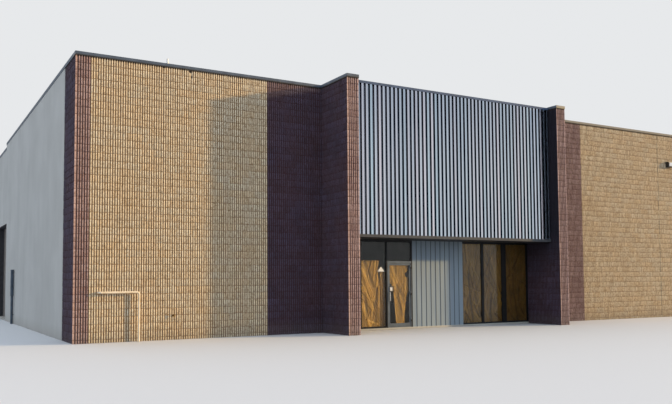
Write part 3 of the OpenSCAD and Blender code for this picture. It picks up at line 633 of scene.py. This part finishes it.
def evenly_darker(x, z):
    """The right front, a quarter of the way to its darker paint all over."""
    return 0.25 + exposed(x, z)


def beside_left_wing(x, z):
    """Painted shade of the brown strip beside the left wing: full where the wing's shadow
    from the key light falls, and half above it.
    """
    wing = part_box("entry_wing_left")[0].x - corner.x
    shade_line = COPING_EDGE - (wing - x) * math.tan(KEY_UP) / math.sin(KEY_SIDE)
    above, blur = 0.5, 0.2
    return np.clip(above + (shade_line - z) / blur, above, 1) * (x > TAN_ENDS_LEFT)


def shaded_side(x, z):
    """Full painted shade on the sides behind a front."""
    return 1.0 + exposed(x, z)


def beside_fascia(x, z):
    """Painted shade of the right wing's sides, deeper from 1.6 m up, towards near black as
    the shade under the fascia.
    """
    starts, grows_over, most = 1.6, 1.8, 0.9
    return shaded_side(x, z) + most * np.clip((z - starts) / grows_over, 0, 1)


def chipped(place, heights):
    """How deep the chips under the coping are at each height and place of a wall."""
    on_front = np.abs(place[:, 1] - corner.y) < NEAR
    depth = np.zeros((len(heights), len(place)))
    for x, z, half_width, half_height in CHIPS:
        far = np.hypot((place[None, :, 0] - corner.x - x) / half_width,
                       (heights[:, None] - z) / half_height)
        depth = np.maximum(depth, CHIP_DEPTH * on_front * np.clip(CHIP_RIM - far, 0, 1))
    return depth


def split_faces(outline, levels, is_brown, front_shade, side_shade, rng):
    """Points of one block wall as rows, columns and x, y, z, and the marks on each of them.
    Ribs are pushed in only, so that the wall stays inside its solid."""
    place, inward, share, rib = (np.array(values) for values in zip(*outline_stations(outline)))
    heights, in_joint, courses = (np.array(values) for values in zip(*levels))
    size = len(levels), len(place)
    rib_face = (share == 0) & (rib >= 0)
    torn = rng.random((courses.max() + 1, rib.max() + 2))[courses][:, rib]
    depth = GROOVE_DEPTH * share[None, :] + np.zeros((len(levels), 1))
    depth += rib_face * (SPLIT_ROUGHNESS * torn + POINT_ROUGHNESS * rng.random(size))
    depth = np.where(rib_face & (in_joint[:, None] == 1), JOINT_DEPTH, depth)
    depth = np.maximum(depth, chipped(place, heights))
    shift = rib_face * (rng.random(size) - 0.5) * SIDE_WANDER
    along = np.stack([-inward[:, 1], inward[:, 0]], 1)
    xy = place[None] + depth[..., None] * inward[None] + shift[..., None] * along[None]
    # The ends of the ribs are broken off unevenly at the bed joints
    ragged = rib_face * (rng.random(size) - 0.5) * END_WANDER
    ragged[[0, -1]] = 0
    z = (heights[:, None] + ragged)[..., None]
    brown = np.array([is_brown(x - corner.x) for x in place[:, 0]], float)
    on_face = place[:, 1] < place[:, 1].min() + NEAR
    where = (place[None, :, 0] - corner.x, heights[:, None])
    painted_shade = np.where(on_face, front_shade(*where), side_shade(*where))
    filled = rng.random((len(levels), rib.max() + 2))[:, rib]
    filled = LEAST_JOINT_DIRT + (1 - LEAST_JOINT_DIRT) * filled
    # Rib grooves are darkened as dirt and painted shade, bed joints as dirt
    groove = np.maximum(GROOVE_DIRT_AND_SHADE * share[None, :], in_joint[:, None] * filled)
    marks = np.stack([np.broadcast_to(brown, size), painted_shade, groove, rib_face * torn])
    return np.concatenate([xy, z], 2), marks


def ribbed_wall(name, outlines, top, replaced, is_brown, front_shade, seed,
                side_shade=shaded_side):
    """Block walls as outlines with ribs raised through the courses. The paint is its lit copy
    where the painted shade is 0, its shaded copy where it is 1, and turns near black towards 2,
    as deep painted shade."""
    rng = np.random.default_rng(seed)
    levels = wall_levels(top)
    points, faces, marks = [], [], []
    total = 0
    for outline in outlines:
        places, values = split_faces(outline, levels, is_brown, front_shade, side_shade, rng)
        quads, ends = shell_faces(*places.shape[:2], total)
        faces += quads + ends
        total += values[0].size
        points.append(places.reshape(-1, 3))
        marks.append(values.reshape(len(MARKS), -1))
    mesh = bpy.data.meshes.new(name)
    mesh.from_pydata(np.concatenate(points).tolist(), [], faces)
    for label, values in zip(MARKS, np.concatenate(marks, 1)):
        mark_points(mesh, label, values)
    piece = new_piece(name, mesh, split_block)
    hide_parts(replaced)


def wall_outline(low, high):
    """A straight wall with ribs on its front only."""
    return [(low.x, low.y, (OPEN, OPEN)), (high.x, low.y, None), (high.x, high.y, None),
            (low.x, high.y, None)]


def block_walls():
    """The block walls of the front, its two wings and its corners."""
    low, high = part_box("front_wall_left")
    top = high.z
    ribbed_wall("front_wall_left_blocks", [wall_outline(low, high)], top, "front_wall_left",
                lambda x: x > TAN_ENDS_LEFT, beside_left_wing, seed=11)
    low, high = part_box("front_wall_right")
    near_end = low.x + CONTROL_JOINT - CAULK_HALF
    far_start = low.x + CONTROL_JOINT + CAULK_HALF
    for name, start, end, seed in (("front_wall_right_blocks_near", low.x, near_end, 12),
                                   ("front_wall_right_blocks_far", far_start, high.x, 13)):
        ribbed_wall(name, [wall_outline(Vector((start, low.y, 0)), Vector((end, high.y, 0)))],
                    top, "front_wall_right", lambda x: x < TAN_STARTS_RIGHT,
                    evenly_darker, seed)
    caulk = Shape()
    caulk.strip((near_end, low.y + CAULK_RECESS, 0), (far_start, high.y, top))
    caulk.piece("control_joint_caulk", rubber, "tan_block")
    for name, front_shade, side_shade, seed in (
            ("entry_wing_left", exposed, shaded_side, 14),
            ("entry_wing_right", evenly_darker, beside_fascia, 15)):
        low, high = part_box(name)
        outline = [(low.x, low.y, (SOLID, SOLID)), (high.x, low.y, (SOLID, OPEN)),
                   (high.x, high.y, None), (low.x, high.y, (OPEN, SOLID))]
        ribbed_wall(name + "_blocks", [outline], top, name, lambda x: True,
                    front_shade, seed, side_shade)
    low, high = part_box("corner_piers")
    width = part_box("front_wall_left")[0].x - low.x
    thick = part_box("entry_wing_left")[1].y - low.y
    left = [(low.x, low.y, (SOLID, OPEN)), (low.x + width, low.y, None),
            (low.x + width, low.y + thick, None), (low.x + thick, low.y + thick, None),
            (low.x + thick, high.y, None), (low.x, high.y, (OPEN, SOLID))]
    right = [(high.x - width, low.y, (OPEN, SOLID)), (high.x, low.y, (SOLID, OPEN)),
             (high.x, high.y, None), (high.x - thick, high.y, None),
             (high.x - thick, low.y + thick, None), (high.x - width, low.y + thick, None)]
    ribbed_wall("corner_pier_blocks", [left, right], top, "corner_piers",
                lambda x: True, exposed, seed=16)


# Papers hung behind the glass

# Sizes of the mesh's cells and the gap that a paper keeps to its box's front and back
CELL_WIDTH, CELL_HEIGHT, PAPER_GAP = 0.012, 0.020, 0.002
SMALL_CREASES = 40


def ridge(x, z, ax, az, bx, bz, spread):
    """1 on the line from a to b, falling evenly to 0 at a distance of spread."""
    length = math.hypot(bx - ax, bz - az)
    t = ((x - ax) * (bx - ax) + (z - az) * (bz - az)) / length ** 2
    off = np.abs((x - ax) * (bz - az) - (z - az) * (bx - ax)) / length
    past = np.maximum(0, np.maximum(-t, t - 1)) * length
    return np.clip(1 - np.hypot(off, past) / spread, 0, 1)


def creased_paper(name, low, high, folds, seed, body, left=((0, 0),), right=((0, 1),),
                  palest=1.0, softness=1.7):
    """A sheet of kraft paper with sharp folds. Each fold is (from across, from up, to across,
    to up, width, height): places as shares of the box, width in metres, height -1 to 1. The
    side edges run through (up, across) shares, palest is the painted light on the highest
    fold, kept low as painted shade on a sheet that stands in shade, and a lower softness
    makes the small creases stand out more."""
    rng = random.Random(seed)
    width, height = high.x - low.x, high.z - low.z
    columns, rows = round(width / CELL_WIDTH), round(height / CELL_HEIGHT)
    up = np.linspace(0, 1, rows + 1)
    left_edge, right_edge = (width * np.interp(up, *zip(*edge))[:, None] for edge in (left, right))
    x = left_edge + (right_edge - left_edge) * np.linspace(0, 1, columns + 1)
    z = height * up[:, None] + np.zeros((1, columns + 1))
    creases = [(rng.uniform(-0.2, 1.1), rng.uniform(0.4, 1.1), rng.uniform(-0.1, 1.2),
                rng.uniform(-0.1, 0.6), rng.uniform(0.012, 0.034), rng.uniform(-0.9, 0.9))
               for _ in range(SMALL_CREASES)]
    relief = np.zeros_like(x)
    for ax, az, bx, bz, spread, lift in folds + creases:
        relief += lift * ridge(x, z, ax * width, az * height, bx * width, bz * height, spread)
    relief = 0.5 + 0.5 * np.tanh((relief - relief.mean()) / (softness * relief.std()))
    y = high.y - PAPER_GAP - relief * (high.y - low.y - 2 * PAPER_GAP)
    points = np.stack([x + low.x, y, z + low.z], -1).reshape(-1, 3)
    quads = grid_quads(rows + 1, columns + 1, columns)
    mesh = bpy.data.meshes.new(name)
    mesh.from_pydata(points.tolist(), [], quads.tolist())
    # The relief, scaled by palest, goes to the finish as painted light and shade
    mark_points(mesh, "fold", (palest * relief).ravel())
    piece = new_piece(name, mesh, paper, body)
    area = sum(polygon.area for polygon in mesh.polygons)
    return piece, (round(area / height, 2), round(height, 2))


# Folds and edges as the photo shows them
SIDE_PANE_FOLDS = [
    (0.05, 0.86, 0.64, 0.42, 0.10, 1.0), (0.20, 0.98, 0.66, 0.60, 0.08, -0.9),
    (0.52, 0.99, 0.42, 0.80, 0.06, -1.0), (0.76, 0.99, 0.65, 0.70, 0.05, 0.9),
    (0.90, 0.99, 0.86, 0.60, 0.05, 0.8), (0.10, 0.60, 0.57, 0.26, 0.09, 0.8),
    (0.22, 0.50, 0.30, 0.12, 0.07, -0.9), (0.84, 0.56, 0.76, 0.06, 0.09, -0.8),
    (0.98, 0.60, 0.90, 0.30, 0.06, 0.9), (0.06, 0.34, 0.46, 0.01, 0.10, 1.0),
    (0.60, 0.40, 0.55, 0.05, 0.06, 0.7), (0.30, 0.10, 0.90, 0.03, 0.05, 0.6),
]
SIDE_PANE_RIGHT = ((0, 0.99), (0.27, 0.985), (0.46, 1.0), (0.61, 0.985), (0.78, 0.915),
                   (0.91, 0.905), (1, 0.995))
DOOR_FOLDS = [
    (0.10, 0.98, 0.39, 0.70, 0.07, 1.0), (0.05, 0.84, 0.29, 0.66, 0.06, 0.9),
    (0.30, 0.98, 0.34, 0.80, 0.05, -0.7), (0.35, 0.66, 0.70, 0.48, 0.07, -0.9),
    (0.22, 0.50, 0.33, 0.05, 0.06, 1.0), (0.42, 0.52, 0.60, 0.14, 0.06, -1.0),
    (0.54, 0.47, 0.70, 0.20, 0.05, 0.8), (0.88, 0.93, 0.78, 0.60, 0.06, 0.9),
    (0.90, 0.46, 0.76, 0.25, 0.06, 0.9), (0.66, 0.30, 0.70, 0.03, 0.05, 0.8),
    (0.72, 0.66, 0.70, 0.40, 0.05, -0.8),
]
DOOR_LEFT = ((0, 0.33), (0.24, 0.28), (0.37, 0.243), (0.52, 0.215), (0.66, 0.13), (0.70, 0.02),
             (1, 0.02))
DOOR_RIGHT = ((0, 0.76), (0.35, 0.83), (0.46, 0.87), (0.55, 0.985), (0.79, 0.985), (0.80, 0.845),
              (0.85, 0.78), (0.90, 0.93), (0.93, 0.985), (1, 0.985))
FIRST_RIGHT_FOLDS = [
    (0.36, 0.62, 0.42, 0.35, 0.035, -1.6), (0.42, 0.35, 0.56, 0.03, 0.05, -2.0),
    (0.10, 0.30, 0.24, 0.12, 0.05, 1.2), (0.14, 0.14, 0.44, 0.01, 0.04, -1.2),
    (0.60, 0.14, 0.98, 0.02, 0.05, 1.2), (0.62, 0.22, 0.90, 0.06, 0.035, -1.2),
    (0.96, 0.30, 0.70, 0.16, 0.04, 1.0), (0.24, 1.00, 0.30, 0.66, 0.04, 0.8),
]
SECOND_RIGHT_FOLDS = [
    (0.46, 0.36, 0.36, 0.10, 0.05, -2.0), (0.38, 0.12, 0.44, 0.00, 0.060, -1.4),
    (0.10, 0.20, 0.26, 0.02, 0.05, 1.2), (0.62, 0.10, 0.94, 0.02, 0.05, -1.4),
    (0.92, 0.30, 0.66, 0.14, 0.04, 1.2), (0.70, 0.96, 0.72, 0.58, 0.04, 0.8),
]
STRAIGHT = ((0, 1),)
# One row per solid of the window papers, from left to right: seed, folds, right edge, palest
# tone, which is low as painted shade on the sheets in shade, and softness
WINDOW_PAPERS = [
    (20, SIDE_PANE_FOLDS, STRAIGHT, 1.0, 1.7), (21, SIDE_PANE_FOLDS, SIDE_PANE_RIGHT, 1.0, 1.7),
    (22, [], STRAIGHT, 0.2, 1.7), (23, FIRST_RIGHT_FOLDS, STRAIGHT, 0.7, 0.8),
    (24, SECOND_RIGHT_FOLDS, STRAIGHT, 0.52, 0.8), (25, FIRST_RIGHT_FOLDS, STRAIGHT, 0.18, 0.8),
]


def hung_papers():
    """The papers behind the shop front, and the one that rides on the door."""
    for i, ((low, high), row) in enumerate(zip(solids_of("window_paper"), WINDOW_PAPERS)):
        seed, folds, right, palest, softness = row
        piece, flat = creased_paper(f"window_paper_{i + 1}", low, high, folds, seed, BUILDING,
                                    right=right, palest=palest, softness=softness)
        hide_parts("window_paper")
    low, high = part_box("door_paper")
    piece, flat = creased_paper("door_paper_sheet", low, high, DOOR_FOLDS, 30, ENTRANCE_DOOR,
                                left=DOOR_LEFT, right=DOOR_RIGHT, palest=0.85)
    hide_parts("door_paper")


# Fittings

def coping_joint_covers():
    """Cover plates over the joints between coping lengths, 3 mm proud of the sheet."""
    pitch, half, proud = 3.048, 0.05, 0.003
    for node, finish, slot in (("coping_front_left", dark_coping, "dark_coping"),
                               ("coping_front_right", light_coping, "light_coping")):
        low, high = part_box(node)
        covers = Shape()
        for i in range(1, int((high.x - low.x) / pitch) + 1):
            x = low.x + i * pitch
            if x < high.x - half:
                covers.strip((x - half, low.y - proud, low.z), (x + half, low.y, high.z))
                covers.strip((x - half, high.y, low.z), (x + half, high.y + proud, high.z))
        covers.piece(node + "_joint_covers", finish, slot, bevel=0.001)


def glazing_gaskets():
    """Rubber beads between each pane and its frame, thick outside and a mere skin inside."""
    beads = Shape()
    wide, proud, skin = 0.012, 0.006, 0.0002
    for low, high in solids_of("shopfront_glass"):
        for front, back in ((low.y - proud, low.y), (high.y, high.y + skin)):
            beads.strip((low.x, front, low.z), (low.x + wide, back, high.z))
            beads.strip((high.x - wide, front, low.z), (high.x, back, high.z))
            beads.strip((low.x + wide, front, low.z), (high.x - wide, back, low.z + wide))
            beads.strip((low.x + wide, front, high.z - wide), (high.x - wide, back, high.z))
    beads.piece("glazing_gaskets", rubber, "black_aluminium")


def fascia_screws():
    """Screws with washers in the valleys of the ribbed fascia, one at each rail."""
    low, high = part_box("fascia_panel")
    rails = sorted({(round(rail_low.z, 4), round(rail_high.z, 4))
                    for rail_low, rail_high in solids_of("fascia_rails")})
    pitch = (high.x - low.x) / FASCIA_RIBS
    from_edge, from_back = 0.02, 0.003
    # Distance outward and radius: the washer, then the head
    profile = [(0, 0.010), (0.002, 0.010), (0.002, 0.006), (0.007, 0.005)]
    screws = Shape()
    for rail_low, rail_high in rails:
        for valley in range(FASCIA_RIBS + 1):
            x = min(max(low.x + valley * pitch, low.x + from_edge), high.x - from_edge)
            place = (x, high.y - from_back, (rail_low + rail_high) / 2)
            screws.turned(place, (0, -1, 0), profile, sides=6)
    screws.piece("fascia_screws", mill_aluminium, "trim_metal")


def roof_details():
    """Welded laps of the membrane, and its upstand on the inside of the parapets."""
    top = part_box("roof_deck")[1].z
    left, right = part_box("side_wall_left_rear")[1].x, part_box("side_wall_right")[0].x
    front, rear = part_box("front_wall_left")[1].y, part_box("rear_wall")[0].y
    sheet_width, lap_width, lap_thick, least_sheet = 1.83, 0.04, 0.003, 0.3
    laps = Shape()
    y = front + sheet_width
    while y < rear - least_sheet:
        laps.strip((left, y, top), (right, y + lap_width, top + lap_thick))
        y += sheet_width
    laps.piece("roof_membrane_laps", membrane, "roof_membrane")
    thick, below_coping = 0.006, 0.08
    high_front, high_rear = (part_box(node)[1].z - below_coping
                             for node in ("front_wall_left", "rear_wall"))
    upstand = Shape()
    upstand.strip((left, front, top), (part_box("entry_wing_left")[0].x, front + thick, high_front))
    upstand.strip((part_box("entry_wing_right")[1].x, front, top),
                  (right, front + thick, high_front))
    upstand.strip((left, rear - thick, top), (right, rear, high_rear))
    for inner, outer in ((left, left + thick), (right - thick, right)):
        upstand.strip((inner, front + thick, top), (outer, rear - thick, high_rear))
    upstand.piece("parapet_upstand", membrane, "roof_membrane")


def door_frame_covers():
    """Bronze covers on the bar over the door and on the jambs beside it, none of which reaches
    into the door's running gaps."""
    leaf_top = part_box("door_leaf")[1].z
    sill_low, sill_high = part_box("door_sill")
    pane_low, pane_high = [box for box in solids_of("shopfront_glass") if box[0].z > leaf_top][0]
    proud, gap = 0.002, 0.005
    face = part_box("shopfront_frame_left")[0].y
    bar = leaf_top + gap
    covers = Shape()
    covers.strip((pane_low.x, face - proud, bar), (pane_high.x, face, pane_low.z - proud))
    covers.strip((pane_low.x, face - proud, sill_low.z), (sill_low.x, face, bar))
    covers.strip((sill_high.x, face - proud, sill_low.z), (pane_high.x, face, bar))
    covers.piece("door_frame_covers", bronze_frame, "bronze_aluminium", bevel=0.0008)


def bare_sticker():
    """A bare white triangular sticker on the pane beside the door."""
    x, z, half, tall, thin = 9.83, 1.93, 0.14, 0.165, 0.0006
    pane = solids_of("shopfront_glass")[1][0]
    points = [from_corner(x - half, 0, z), from_corner(x + half, 0, z), from_corner(x, 0, z + tall)]
    for point in points:
        point.y = pane.y
    sticker = Shape()
    sticker.prism(points, (0, -thin, 0))
    sticker.piece("bare_triangle_sticker", white_plastic, "door_fittings")


def lock_surround():
    """The black plate behind the white lock box, as a thin cover with a hole for the box."""
    plate_low, plate_high = max(solids_of("door_hardware"), key=lambda box: box[1].z)
    hole_left, hole_right, margin = 0.006, 0.098, 0.033
    cover_depth, thin = 0.009, 0.001
    left, right = plate_low.x + hole_left, plate_low.x + hole_right
    low, high = plate_low.z + margin, plate_high.z - margin
    front, back = plate_high.y - cover_depth, plate_high.y - cover_depth + thin
    cover = Shape()
    cover.strip((plate_low.x, front, plate_low.z), (left, back, plate_high.z))
    cover.strip((right, front, plate_low.z), (plate_high.x, back, plate_high.z))
    cover.strip((left, front, plate_low.z), (right, back, low))
    cover.strip((left, front, high), (right, back, plate_high.z))
    cover.piece("lock_surround", black_plastic, "door_fittings", body=ENTRANCE_DOOR)


def lamp_lens():
    """Fluted white lens over the front and sides of the wall lamp's glass block."""
    low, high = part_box("wall_lamp")
    rim, deep, tall, flute, proud, thin = 0.026, 0.045, 0.158, 0.014, 0.003, 0.001
    left, right, bottom, front = low.x + rim, high.x - rim, low.z + rim, low.y
    lens = Shape()
    flutes = round((right - left) / flute)
    for i in range(flutes):
        start, end = (left + (right - left) * share / flutes for share in (i, i + 1))
        lens.prism([(start, front, bottom), ((start + end) / 2, front - proud, bottom),
                    (end, front, bottom)], (0, 0, tall))
    for x in (left - thin, right):
        lens.strip((x, front, bottom), (x + thin, front + deep, bottom + tall))
    lens.strip((left, front, bottom - thin), (right, front + deep, bottom))
    lens.piece("lamp_lens", white_plastic, "lamp_housing")


# Stage

FLOOR_REACH = 400.0
FLOOR_LEVEL = -0.004
WORLD_FILL = 1.10
BACKDROP = 0.90
KEY_STRENGTH = 4.0
KEY_SOFTNESS = math.radians(2)


def seen_straight_on(tree):
    """1 where the camera looks, also by way of metal or glass, and 0 for light on its way."""
    path = add(tree, "LightPath").node.outputs
    seen = add(tree, "Math", {0: path["Is Camera Ray"], 1: path["Is Transmission Ray"]},
               operation="MAXIMUM")
    return add(tree, "Math", {0: seen, 1: path["Is Glossy Ray"]}, operation="MAXIMUM")


def stage_floor():
    """Plain pale floor that runs out to the backdrop, and throws less light than it shows."""
    mesh = bpy.data.meshes.new("floor")
    mesh.from_pydata([(x * FLOOR_REACH, y * FLOOR_REACH, FLOOR_LEVEL)
                      for x, y in ((-1, -1), (1, -1), (1, 1), (-1, 1))], [], [[0, 1, 2, 3]])
    floor = in_scene("floor", mesh)
    material = new_finish("studio_floor", roughness=0.9)[0]
    tree = material.node_tree
    colour = coated("#8C9094", ("#D4D4D2", seen_straight_on(tree), 1))
    tree.links.new(colour, tree.nodes["Principled BSDF"].inputs["Base Color"])
    mesh.materials.append(material)


def studio_light():
    """A soft pale surround for fill, seen as the backdrop, and one key from the right."""
    world = bpy.data.worlds.new("studio")
    bpy.context.scene.world = world
    world.use_nodes = True
    tree = world.node_tree
    tree.nodes.clear()
    fill = add(tree, "Background", {0: linear("#DEEBFF"), 1: WORLD_FILL})
    backdrop = add(tree, "Background", {0: linear("#F2F4F6"), 1: BACKDROP})
    both = add(tree, "MixShader", {0: seen_straight_on(tree), 1: fill, 2: backdrop})
    tree.links.new(both, tree.nodes.new("ShaderNodeOutputWorld").inputs["Surface"])
    lamp = bpy.data.lights.new("key", "SUN")
    lamp.energy = KEY_STRENGTH
    lamp.angle = KEY_SOFTNESS
    lamp.color = linear("#FFD792")[:3]
    key = in_scene("key", lamp)
    towards = Vector((math.sin(KEY_SIDE) * math.cos(KEY_UP), -math.cos(KEY_SIDE) * math.cos(KEY_UP),
                      math.sin(KEY_UP)))
    key.rotation_mode = "QUATERNION"
    key.rotation_quaternion = towards.to_track_quat("Z", "Y")


# The photo's camera, solved from block joints and long edges, in pixels of the photo
PHOTO_WIDTH, PHOTO_HEIGHT = 672, 404
FOCAL_PIXELS = 750.6
AXIS_ROW = 239.4
SENSOR = 36.0
CAMERA_YAW, CAMERA_PITCH, CAMERA_ROLL = (math.radians(a) for a in (30.029, 3.185, 0.420))
CAMERA_PLACE = (-3.944, -20.831, 1.620)


def photo_camera():
    """The camera that took the photo, its axis below the middle row."""
    camera = in_scene("photo_camera", bpy.data.cameras.new("photo_camera"))
    camera.data.sensor_width = SENSOR
    camera.data.lens = FOCAL_PIXELS / PHOTO_WIDTH * SENSOR
    camera.data.shift_y = (AXIS_ROW - PHOTO_HEIGHT / 2) / PHOTO_WIDTH
    camera.data.clip_start, camera.data.clip_end = 0.1, 2000
    forward = Vector((math.sin(CAMERA_YAW) * math.cos(CAMERA_PITCH),
                      math.cos(CAMERA_YAW) * math.cos(CAMERA_PITCH), math.sin(CAMERA_PITCH)))
    right = Vector((math.cos(CAMERA_YAW), -math.sin(CAMERA_YAW), 0))
    down = forward.cross(right)
    rolled_right = math.cos(CAMERA_ROLL) * right + math.sin(CAMERA_ROLL) * down
    rolled_down = math.cos(CAMERA_ROLL) * down - math.sin(CAMERA_ROLL) * right
    axes = Matrix((rolled_right, -rolled_down, -forward)).transposed()
    camera.matrix_world = Matrix.Translation(from_corner(*CAMERA_PLACE)) @ axes.to_4x4()
    bpy.context.scene.camera = camera


photo_camera()
dress_nodes()
block_walls()
hung_papers()
coping_joint_covers()
glazing_gaskets()
fascia_screws()
roof_details()
door_frame_covers()
bare_sticker()
lock_surround()
lamp_lens()
stage_floor()
studio_light()
bpy.context.scene.view_settings.view_transform = "Standard"
